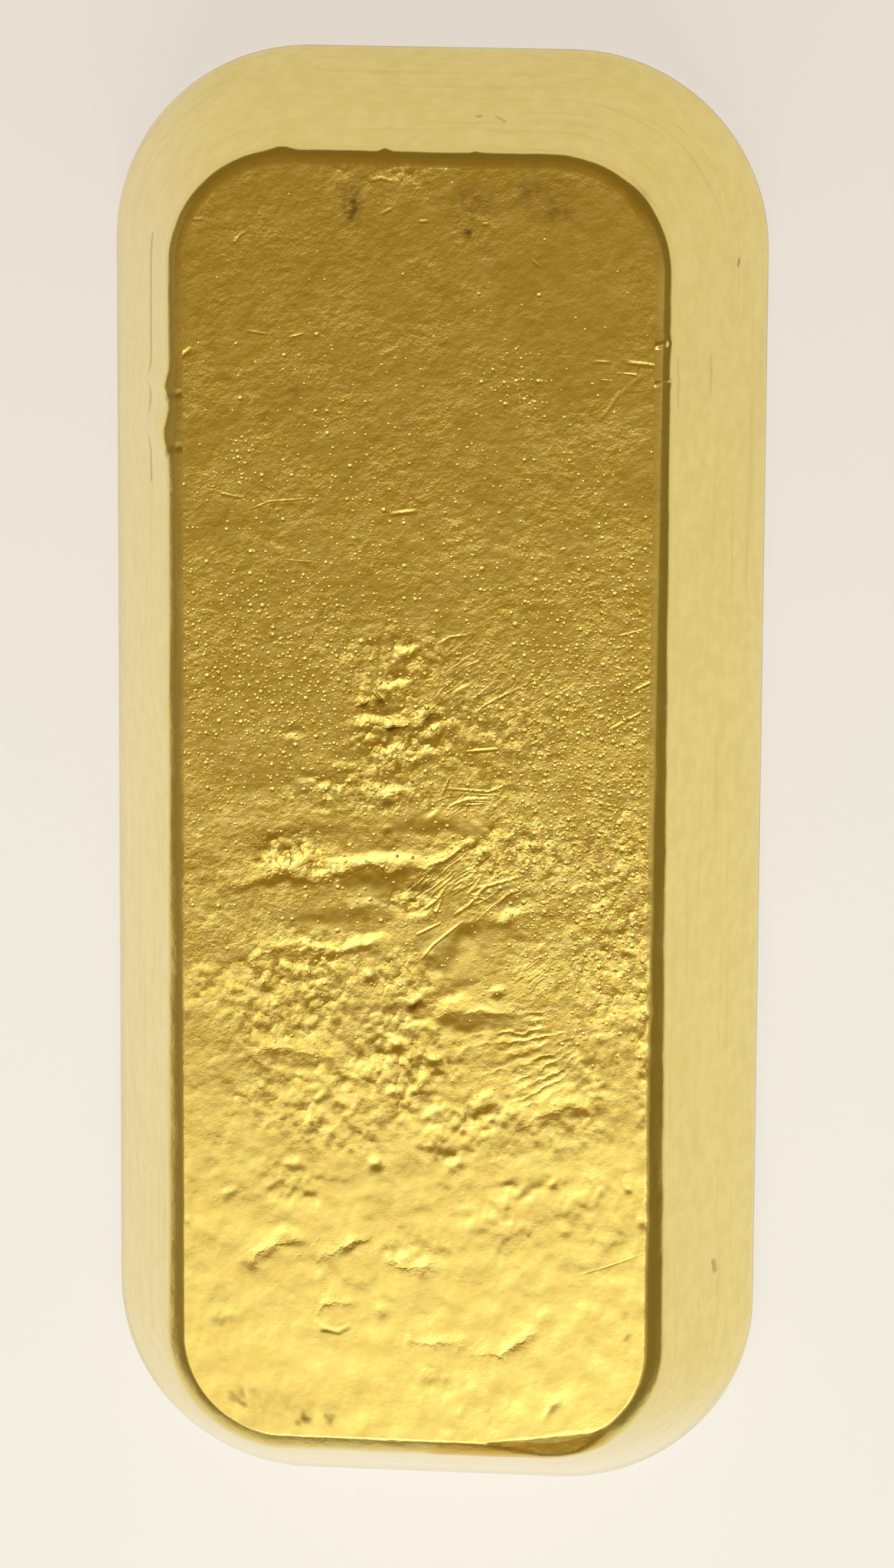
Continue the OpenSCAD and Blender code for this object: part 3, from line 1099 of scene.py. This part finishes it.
def mark_group():
    """A mark between two places: 1 on the straight line between them, falling to 0 at its width."""
    tree, start, end = new_group(
        "mark", [("Place", "Vector"), ("Start", "Vector"), ("End", "Vector"), ("Width", "Float")],
        [("Mask", "Float")])
    run = calc_vector(tree, "SUBTRACT", start.outputs["End"], start.outputs["Start"])
    reach = calc_vector(tree, "SUBTRACT", start.outputs["Place"], start.outputs["Start"])
    along = calc_vector(tree, "DOT_PRODUCT", reach, run, "Value")
    share = calc(tree, "DIVIDE", along, calc_vector(tree, "DOT_PRODUCT", run, run, "Value"))
    share = calc(tree, "MINIMUM", calc(tree, "MAXIMUM", share, 0.0), 1.0)
    away = calc_vector(tree, "DISTANCE", reach, scaled(tree, run, share), "Value")
    mask = spread(tree, calc(tree, "DIVIDE", away, start.outputs["Width"]), 0.0, 1.0, 1.0, 0.0)
    put(tree, end.inputs["Mask"], mask)
    return tree


# Clouds of a deeper tone: noise and span of their share, for the broad and the fine ones
BROAD_CLOUD_NOISE = (0.2, 4, 0.65)
BROAD_CLOUD_SPAN = (-0.18, 0.2, 0.0, 0.45)
FINE_CLOUD_NOISE = (0.8, 4, 0.65)
FINE_CLOUD_SPAN = (-0.2, 0.2, 0.0, 0.8)

# Uneven gloss: its noise, and how much that changes the roughness
GLOSS_NOISE = (0.7, 2, 0.5)
GLOSS_CHANGE = 0.08

# Brown tone of a stain and of painted shade, and how much duller it is
STAIN_AND_SHADE_TONE = (0.22, 0.12, 0.025, 1)
STAIN_DULL = 0.05


def tarnish_group():
    """Uneven colour of old metal: clouds of a deeper tone, brown where it is stained, and duller there. On
    the mould face part of that brown is painted shade in dents and seams.
    """
    tree, start, end = new_group(
        "tarnish",
        [("Place", "Vector"), ("Clean", "Color"), ("Deep", "Color"), ("Stain", "Float"), ("Gloss", "Float")],
        [("Color", "Color"), ("Roughness", "Float")])
    place = start.outputs["Place"]
    broad = patches(tree, place, BROAD_CLOUD_NOISE, BROAD_CLOUD_SPAN)
    fine = patches(tree, place, FINE_CLOUD_NOISE, FINE_CLOUD_SPAN)
    toned = blend(tree, total_of(tree, broad, fine), start.outputs["Clean"], start.outputs["Deep"])
    stained = blend(tree, start.outputs["Stain"], toned, STAIN_AND_SHADE_TONE)
    uneven = cloud(tree, place, *GLOSS_NOISE)
    rough = calc(tree, "MULTIPLY_ADD", uneven, GLOSS_CHANGE, start.outputs["Gloss"])
    rough = calc(tree, "MULTIPLY_ADD", start.outputs["Stain"], STAIN_DULL, rough)
    put(tree, end.inputs["Color"], stained)
    put(tree, end.inputs["Roughness"], rough)
    return tree


CAST_SKIN = cast_skin_group()
SEAM_LIP = seam_lip_group()
MARK = mark_group()
TARNISH = tarnish_group()


# Materials

# Clean and deep tones
FACE_CLEAN = (0.98, 0.82, 0.27, 1)
FACE_DEEP = (0.9, 0.7, 0.175, 1)
SIDE_CLEAN = (0.92, 0.79, 0.31, 1)
SIDE_DEEP = (0.87, 0.72, 0.25, 1)
EDGE_CLEAN = (0.88, 0.71, 0.23, 1)
EDGE_DEEP = (0.87, 0.72, 0.25, 1)
OPEN_CLEAN = (0.9, 0.68, 0.2, 1)
OPEN_DEEP = (0.82, 0.58, 0.14, 1)

# Even tone of the mould face toward the low end, and the span from places along the bar to its share
FACE_LOW = (0.93, 0.75, 0.215, 1)
FACE_LOW_SPAN = (-8.0, -30.0, 0.0, 0.6)

# Roughness where the mould shaped the metal, and where it set in air
CAST_ROUGHNESS = 0.25
OPEN_ROUGHNESS = 0.32

# Fan of ripples: its foot, the distances from it at which the fan begins, is full and ends, and its height
FAN_FOOT = (13.4, -12.9)
FAN_NEAR = 3.0
FAN_FULL = 5.5
FAN_FAR = 12.0
FAN_HEIGHT = 0.036

# Directions of the fan: its middle, its half, and the share of the half that is full
FAN_MIDDLE = math.radians(-25)
FAN_HALF = math.radians(34)
FAN_CORE = 0.5

# Turn of the ripples' wave to a radian round the foot, how it curls, and how far noise shifts it
FAN_RIPPLES = 24
FAN_CURL = 0.032
FAN_SHIFT_NOISE = (0.5, 3, 0.55)
FAN_SHIFT = 7.0

# Share of the ripples, where noise breaks them up
FAN_BREAK_NOISE = (0.7, 2, 0.5)
FAN_BREAK_SPAN = (-0.12, 0.12, 0.2, 1.0)

# Share of the grain on the sides and on the mould edge
SIDE_GRAIN = 0.08
EDGE_GRAIN = 0.4

# Streaks round the sides: fineness across, along and up, noise, height, and span of how brown they are
SIDE_STREAK_FINENESS = (0.08, 0.08, 1.6)
SIDE_STREAK_NOISE = (1, 3, 0.6)
SIDE_STREAK_HEIGHT = 0.018
SIDE_STREAK_BROWN = (0.02, 0.3, 0.0, 0.12)

# Skin of the open face, and noise and height of its waves
OPEN_SKIN = {"Grain": 0.3, "Crumble": 0.1, "Streaks": 0.0, "Pores": 0.05}
OPEN_WAVE_NOISE = (0.25, 1, 0.4)
OPEN_WAVE_HEIGHT = 0.4

# Heights between which the side's tone turns into the edge's and then the face's
EDGE_TONE = (EDGE_Z + 0.2 * EDGE_R, EDGE_Z + 0.5 * EDGE_R)
FACE_TONE = (EDGE_Z + 0.96 * EDGE_R, EDGE_Z + 0.995 * EDGE_R)

# Painted reflection: a paler tone of the sides that stands in for the pale floor they mirror, and the spans
# from places to its share: along the bar to the low end, where it is full, and across the bar to the left,
# where there is a little of it
SIDE_PAINTED_REFLECTION = (0.98, 0.9, 0.62, 1)
PAINTED_REFLECTION_LOW = (-40.0, -47.0, 0.0, 1.0)
PAINTED_REFLECTION_LEFT = (-14.0, -18.0, 0.0, 0.2)

# Painted shade: a brown tone laid on the worn flat at the low end, and the line and width over which it
# spreads
FLAT_PAINTED_SHADE = (0.75, 0.49, 0.085, 1)
FLAT_SHADE_LINE = ((2.0, -43.4, 14.6), (12.0, -42.1, 14.3))
FLAT_SHADE_WIDTH = 1.8

# Marks on the sides: start, end, width, depth, below 0 where they stand out, and how brown they are
SIDE_MARKS = [
    ((-17.9, 37.2, 10.75), (-18.0, 21.0, 10.5), 0.3, 0.05, 0.4),
    ((16.65, 30.1, 13.7), (16.7, 27.1, 13.6), 0.3, 0.03, 0.2),
    ((18.46, 29.8, 9.5), (18.5, 27.5, 9.44), 0.25, 0.03, 0.2),
    ((19.92, 35.3, 6.1), (19.95, 35.6, 6.0), 0.25, 0.05, 0.5),
    ((20.45, 37.9, 4.85), (20.5, 38.1, 4.8), 0.25, 0.05, 0.5),
    ((19.3, -31.5, 7.5), (19.4, -32.1, 7.3), 0.4, 0.08, 0.4),
    ((3.3, 45.1, 10.4), (3.5, 45.1, 10.4), 0.25, 0.05, 0.4),
    ((4.5, 45.1, 10.35), (5.1, 44.9, 10.9), 0.2, 0.04, 0.3),
    ((-16.3, 27.0, 14.4), (-15.5, 27.4, 14.9), 0.4, 0.05, 0.5),
    ((-16.4, 23.4, 14.4), (-15.5, 23.9, 14.9), 0.45, 0.05, 0.5),
    ((15.4, 31.2, 14.9), (15.9, 31.3, 14.8), 0.3, -0.1, 0.0),
    ((15.3, 28.7, 14.9), (16.2, 29.0, 14.6), 0.22, -0.08, 0.0),
]


def new_material(name):
    """A node material with its tree, its shader, and places on the piece in millimetres."""
    material = bpy.data.materials.new(name)
    material.use_nodes = True
    tree = material.node_tree
    shader = tree.nodes["Principled BSDF"]
    shader.inputs["Metallic"].default_value = 1
    coordinates = tree.nodes.new("ShaderNodeTexCoord")
    return material, tree, shader, scaled(tree, coordinates.outputs["Object"], 1 / MM)


def attribute(tree, name):
    """A number that the mesh holds at each point."""
    node = tree.nodes.new("ShaderNodeAttribute")
    node.attribute_name = name
    return node.outputs["Fac"]


def add_bump(tree, shader, height):
    """Bump from a height in millimetres."""
    node = tree.nodes.new("ShaderNodeBump")
    node.inputs["Distance"].default_value = MM
    put(tree, node.inputs["Height"], height)
    put(tree, shader.inputs["Normal"], node.outputs["Normal"])


def finish_metal(tree, shader, place, clean, deep, stain, gloss):
    """Colour and roughness of a metal surface through the tarnish group."""
    tones = use_group(tree, TARNISH, {
        "Place": place, "Clean": clean, "Deep": deep, "Stain": stain, "Gloss": gloss})
    put(tree, shader.inputs["Base Color"], tones["Color"])
    put(tree, shader.inputs["Roughness"], tones["Roughness"])


def fan(tree, place):
    """Ripples that spread leftward from a foot, in millimetres: the size of a wave in the angle round the
    foot, which curls toward level with distance and is shifted by noise. They die out near the foot, far
    from it and at both sides of the fan, and noise breaks them."""
    reach = calc_vector(tree, "SUBTRACT", place, (*FAN_FOOT, 0))
    right, up, _ = split(tree, reach)
    away = calc_vector(tree, "LENGTH", reach, output="Value")
    angle = calc(tree, "ARCTAN2", up, product(tree, right, -1.0))
    curled = calc(tree, "DIVIDE", angle, calc(tree, "MULTIPLY_ADD", away, -FAN_CURL, 1.0))
    shift = product(tree, cloud(tree, place, *FAN_SHIFT_NOISE), FAN_SHIFT)
    wave = calc(tree, "ABSOLUTE", calc(tree, "SINE", calc(tree, "MULTIPLY_ADD", curled, FAN_RIPPLES, shift)))
    begins = spread(tree, away, FAN_NEAR, FAN_FULL, 0.0, FAN_HEIGHT)
    ends = spread(tree, away, FAN_FULL, FAN_FAR, 1.0, 0.0)
    aside = calc(tree, "ABSOLUTE", calc(tree, "SUBTRACT", angle, FAN_MIDDLE))
    within = spread(tree, aside, FAN_CORE * FAN_HALF, FAN_HALF, 1.0, 0.0)
    broken = patches(tree, place, FAN_BREAK_NOISE, FAN_BREAK_SPAN)
    return product(tree, wave, begins, ends, within, broken)


def scratch_depth(tree):
    """Depth of the nearest scratch: full on its line, falling to 0 at its width."""
    away = calc(tree, "ABSOLUTE", attribute(tree, "scratch_away"))
    mask = spread(tree, calc(tree, "DIVIDE", away, attribute(tree, "scratch_width")), 0.0, 1.0, 1.0, 0.0)
    return product(tree, mask, attribute(tree, "scratch_depth"))


def cast_gold():
    """Mould face: pored and grainy, scratched, brown with painted shade in its dents and seams and stained
    in places, and evener in tone at the low end.
    """
    material, tree, shader, place = new_material("cast_gold")
    flat_place = calc_vector(tree, "MULTIPLY", place, (1, 1, 0))
    skin = use_group(tree, CAST_SKIN, {
        "Place": flat_place, "Grain": attribute(tree, "grain"), "Crumble": attribute(tree, "crumble"),
        "Streaks": attribute(tree, "streaks"), "Pores": attribute(tree, "pores")})
    lip = use_group(tree, SEAM_LIP, {
        "Place": flat_place, "Away": attribute(tree, "seam_away"), "Depth": attribute(tree, "seam_depth")})
    height = total_of(tree, skin["Height"], lip["Height"], fan(tree, flat_place))
    add_bump(tree, shader, calc(tree, "SUBTRACT", height, scratch_depth(tree)))
    low = spread(tree, split(tree, place)[1], *FACE_LOW_SPAN)
    clean = blend(tree, low, FACE_CLEAN, FACE_LOW)
    deep = blend(tree, low, FACE_DEEP, FACE_LOW)
    # The stain attribute holds brown stains and painted shade in dents and seams.
    finish_metal(tree, shader, place, clean, deep, attribute(tree, "stain"), CAST_ROUGHNESS)
    return material


def side_gold():
    """Sides: smooth from the mould, with fine streaks round the bar and a few marks. Their tone turns into
    the edge's and the face's upward, is paler at the low end and left as a painted reflection, and brown on
    the worn flat as painted shade."""
    material, tree, shader, place = new_material("side_gold")
    streaks = cloud(tree, calc_vector(tree, "MULTIPLY", place, SIDE_STREAK_FINENESS), *SIDE_STREAK_NOISE)
    across, along, up = split(tree, place)
    edge = spread(tree, up, *EDGE_TONE, 0.0, 1.0)
    grain = calc(tree, "MULTIPLY_ADD", edge, EDGE_GRAIN - SIDE_GRAIN, SIDE_GRAIN)
    skin = use_group(tree, CAST_SKIN, {
        "Place": place, "Grain": grain, "Crumble": 0.0, "Streaks": 0.0, "Pores": 0.0})
    height = calc(tree, "MULTIPLY_ADD", streaks, SIDE_STREAK_HEIGHT, skin["Height"])
    stain = spread(tree, streaks, *SIDE_STREAK_BROWN)
    for start, end, width, depth, brown in SIDE_MARKS:
        mark = use_group(tree, MARK, {"Place": place, "Start": start, "End": end, "Width": width})
        height = calc(tree, "MULTIPLY_ADD", mark["Mask"], -depth, height)
        stain = calc(tree, "MULTIPLY_ADD", mark["Mask"], brown, stain)
    add_bump(tree, shader, height)
    # Painted reflection: a paler tone at the low end and a little on the left.
    painted_reflection = calc(tree, "MAXIMUM", spread(tree, along, *PAINTED_REFLECTION_LOW), spread(tree, across, *PAINTED_REFLECTION_LEFT))
    clean = blend(tree, edge, blend(tree, painted_reflection, SIDE_CLEAN, SIDE_PAINTED_REFLECTION), EDGE_CLEAN)
    clean = blend(tree, spread(tree, up, *FACE_TONE, 0.0, 1.0), clean, FACE_CLEAN)
    deep = blend(tree, edge, blend(tree, painted_reflection, SIDE_DEEP, SIDE_PAINTED_REFLECTION), EDGE_DEEP)
    # Painted shade: brown on the worn flat at the low end.
    flat = {"Place": place, "Start": FLAT_SHADE_LINE[0], "End": FLAT_SHADE_LINE[1], "Width": FLAT_SHADE_WIDTH}
    flat_shade = use_group(tree, MARK, flat)["Mask"]
    clean = blend(tree, flat_shade, clean, FLAT_PAINTED_SHADE)
    deep = blend(tree, flat_shade, deep, FLAT_PAINTED_SHADE)
    finish_metal(tree, shader, place, clean, deep, stain, CAST_ROUGHNESS)
    return material


def open_gold():
    """Open face underneath: smooth waves where the melt set in air."""
    material, tree, shader, place = new_material("open_gold")
    skin = use_group(tree, CAST_SKIN, {"Place": place, **OPEN_SKIN})
    waves = cloud(tree, place, *OPEN_WAVE_NOISE)
    add_bump(tree, shader, calc(tree, "MULTIPLY_ADD", waves, OPEN_WAVE_HEIGHT, skin["Height"]))
    finish_metal(tree, shader, place, OPEN_CLEAN, OPEN_DEEP, 0.0, OPEN_ROUGHNESS)
    return material


# The bar

# Numbers of its materials
FACE_ZONE, SIDE_ZONE, OPEN_ZONE = range(3)


def skin_maps(x, y):
    """Numbers for the bump and for the stains and painted shade at each place, by the names that the
    materials read.
    """
    seam_marks = [(line, upper, depth) for line, depth, upper, _ in SEAMS]
    seam_away, _, seam_depth = nearest_mark(x, y, seam_marks)
    scratch_away, scratch_width, scratch_deep = nearest_mark(x, y, SCRATCHES)
    return {
        "grain": grain_map(x, y),
        "crumble": crumb_map(x, y),
        "streaks": field_map(x, y, STREAK_FIELDS, 0.0),
        "pores": field_map(x, y, PORE_FIELDS, 0.0),
        # Brown stains, and painted shade in dents and seams.
        "stain": stain_and_shade_map(x, y),
        "seam_away": seam_away,
        "seam_depth": seam_depth,
        "scratch_away": scratch_away,
        "scratch_width": scratch_width,
        "scratch_depth": scratch_deep,
    }


def add_bar():
    """The casting as one piece, with a material for each of its three zones and the maps of its skin."""
    points, faces, face_count, side_count = casting()
    thing = add_mesh("cast_bar", points, faces)
    for material in (cast_gold(), side_gold(), open_gold()):
        thing.data.materials.append(material)
    zone = np.full(len(faces), OPEN_ZONE, dtype=np.int32)
    zone[:face_count + side_count] = SIDE_ZONE
    zone[:face_count] = FACE_ZONE
    thing.data.polygons.foreach_set("material_index", zone)
    for name, values in skin_maps(points[:, 0], points[:, 1]).items():
        add_attribute(thing, name, values)
    return thing


bar = add_bar()
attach(bar, "root")
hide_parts("ingot")


# Floor, lamps and world

# Floor: half size in metres, tone and roughness
FLOOR_HALF = 2.0
FLOOR_BASE = (0.45, 0.42, 0.39, 1)
FLOOR_ROUGHNESS = 0.9

# Glow of the floor: tones at the back and the front, the front one lighter as painted light, places in
# metres between which they change, strength
FLOOR_BACK = (0.75, 0.72, 0.69, 1)
FLOOR_FRONT = (0.79, 0.79, 0.76, 1)
FLOOR_CHANGE = (0.065, -0.02)
FLOOR_GLOW = 0.82

# Room: tone low down, and the heights of a direction between which the ceiling's tone takes over
ROOM_LOW = (0.21, 0.155, 0.045, 1)
ROOM_CEILING = (0.5, 0.75)

# Ceiling: tones at the back and at the front, the front's turn to the right, and how far back or ahead a
# direction goes where the one tone ends and the other is full
ROOM_BACK = (0.255, 0.16, 0.034, 1)
ROOM_FRONT = (0.78, 0.68, 0.44, 1)
ROOM_TURN = math.radians(12)
ROOM_CHANGE = (0.15, -0.9)

# Lamps: name, place, aim, width and height, and glow, where 1 looks white in a mirror
PANELS = [
    ("low_panel", (-4, -98, 98), (-8, -41, 16), 125, 130, 0.63),
    ("front_window", (41, -155, 206), (0, 0, BAR_H), 110, 70, 1.2),
    ("left_panel", (-330, 0, 190), (0, 0, BAR_H), 320, 160, 0.1),
    ("glint", (-20, -185, 145), (0, -15, BAR_H), 60, 80, 1.6),
]

# Camera: place, aim, lean, lens and the furthest that it sees, in metres
CAMERA_PLACE = (50.2, 96.1, 450.1)
CAMERA_AIM = (2.05, 2.19, BAR_H)
CAMERA_LEAN = math.radians(0.31)
CAMERA_LENS = 158.3
CAMERA_FAR = 10


def add_floor():
    """A level floor whose pale glow is seen by the camera and in the metal, and which still takes shadows.
    Its glow is painted a little lighter toward the front, as painted light."""
    mesh = bpy.data.meshes.new("floor")
    half = FLOOR_HALF
    corners = [(-half, -half, 0), (half, -half, 0), (half, half, 0), (-half, half, 0)]
    mesh.from_pydata(corners, [], [(0, 1, 2, 3)])
    floor = bpy.data.objects.new("floor", mesh)
    bpy.context.scene.collection.objects.link(floor)
    material = bpy.data.materials.new("pale_floor")
    material.use_nodes = True
    tree = material.node_tree
    shader = tree.nodes["Principled BSDF"]
    shader.inputs["Base Color"].default_value = FLOOR_BASE
    shader.inputs["Roughness"].default_value = FLOOR_ROUGHNESS
    path = tree.nodes.new("ShaderNodeLightPath")
    seen = calc(tree, "MAXIMUM", path.outputs["Is Camera Ray"], path.outputs["Is Glossy Ray"])
    seen = calc(tree, "MAXIMUM", seen, path.outputs["Is Transmission Ray"])
    coordinates = tree.nodes.new("ShaderNodeTexCoord")
    along = split(tree, coordinates.outputs["Object"])[1]
    front = spread(tree, along, *FLOOR_CHANGE, 0.0, 1.0)
    # Painted light: the glow grows a little lighter toward the front.
    put(tree, shader.inputs["Emission Color"], blend(tree, front, FLOOR_BACK, FLOOR_FRONT))
    put(tree, shader.inputs["Emission Strength"], product(tree, seen, FLOOR_GLOW))
    mesh.materials.append(material)


def add_panel(name, place, aim, width, height, glow):
    """A soft rectangular lamp at a place, facing an aim point, with a power of glow times pi times area."""
    lamp = bpy.data.lights.new(name, "AREA")
    lamp.shape = "RECTANGLE"
    lamp.size = width * MM
    lamp.size_y = height * MM
    lamp.energy = glow * math.pi * lamp.size * lamp.size_y
    thing = bpy.data.objects.new(name, lamp)
    thing.location = Vector(place) * MM
    thing.rotation_euler = (Vector(aim) - Vector(place)).to_track_quat("-Z", "Y").to_euler()
    thing.visible_camera = False
    bpy.context.scene.collection.objects.link(thing)


def add_camera():
    """A camera at its place, looking at its aim point, with +Y up in the picture but for a small lean."""
    data = bpy.data.cameras.new("camera")
    data.lens = CAMERA_LENS
    data.clip_end = CAMERA_FAR
    thing = bpy.data.objects.new("camera", data)
    back = (Vector(CAMERA_PLACE) - Vector(CAMERA_AIM)).normalized()
    up_hint = Vector((-math.sin(CAMERA_LEAN), math.cos(CAMERA_LEAN), 0))
    right = up_hint.cross(back).normalized()
    up = back.cross(right)
    turn = Matrix((right, up, back)).transposed()
    thing.matrix_world = Matrix.Translation(Vector(CAMERA_PLACE) * MM) @ turn.to_4x4()
    bpy.context.scene.collection.objects.link(thing)
    bpy.context.scene.camera = thing


def add_world():
    """A dim room: low down one even tone, and overhead a ceiling that is lighter toward the front right."""
    world = bpy.data.worlds.new("studio")
    bpy.context.scene.world = world
    world.use_nodes = True
    tree = world.node_tree
    direction = tree.nodes.new("ShaderNodeTexCoord")
    aside, along, height = split(tree, direction.outputs["Generated"])
    ahead = product(tree, along, math.cos(ROOM_TURN))
    along = calc(tree, "MULTIPLY_ADD", aside, -math.sin(ROOM_TURN), ahead)
    front = spread(tree, along, *ROOM_CHANGE, 0.0, 1.0)
    ceiling = blend(tree, front, ROOM_BACK, ROOM_FRONT)
    overhead = spread(tree, height, *ROOM_CEILING, 0.0, 1.0)
    colour = blend(tree, overhead, ROOM_LOW, ceiling)
    put(tree, tree.nodes["Background"].inputs["Color"], colour)


add_floor()
add_camera()
for panel in PANELS:
    add_panel(*panel)
add_world()
bpy.context.scene.view_settings.view_transform = "Standard"
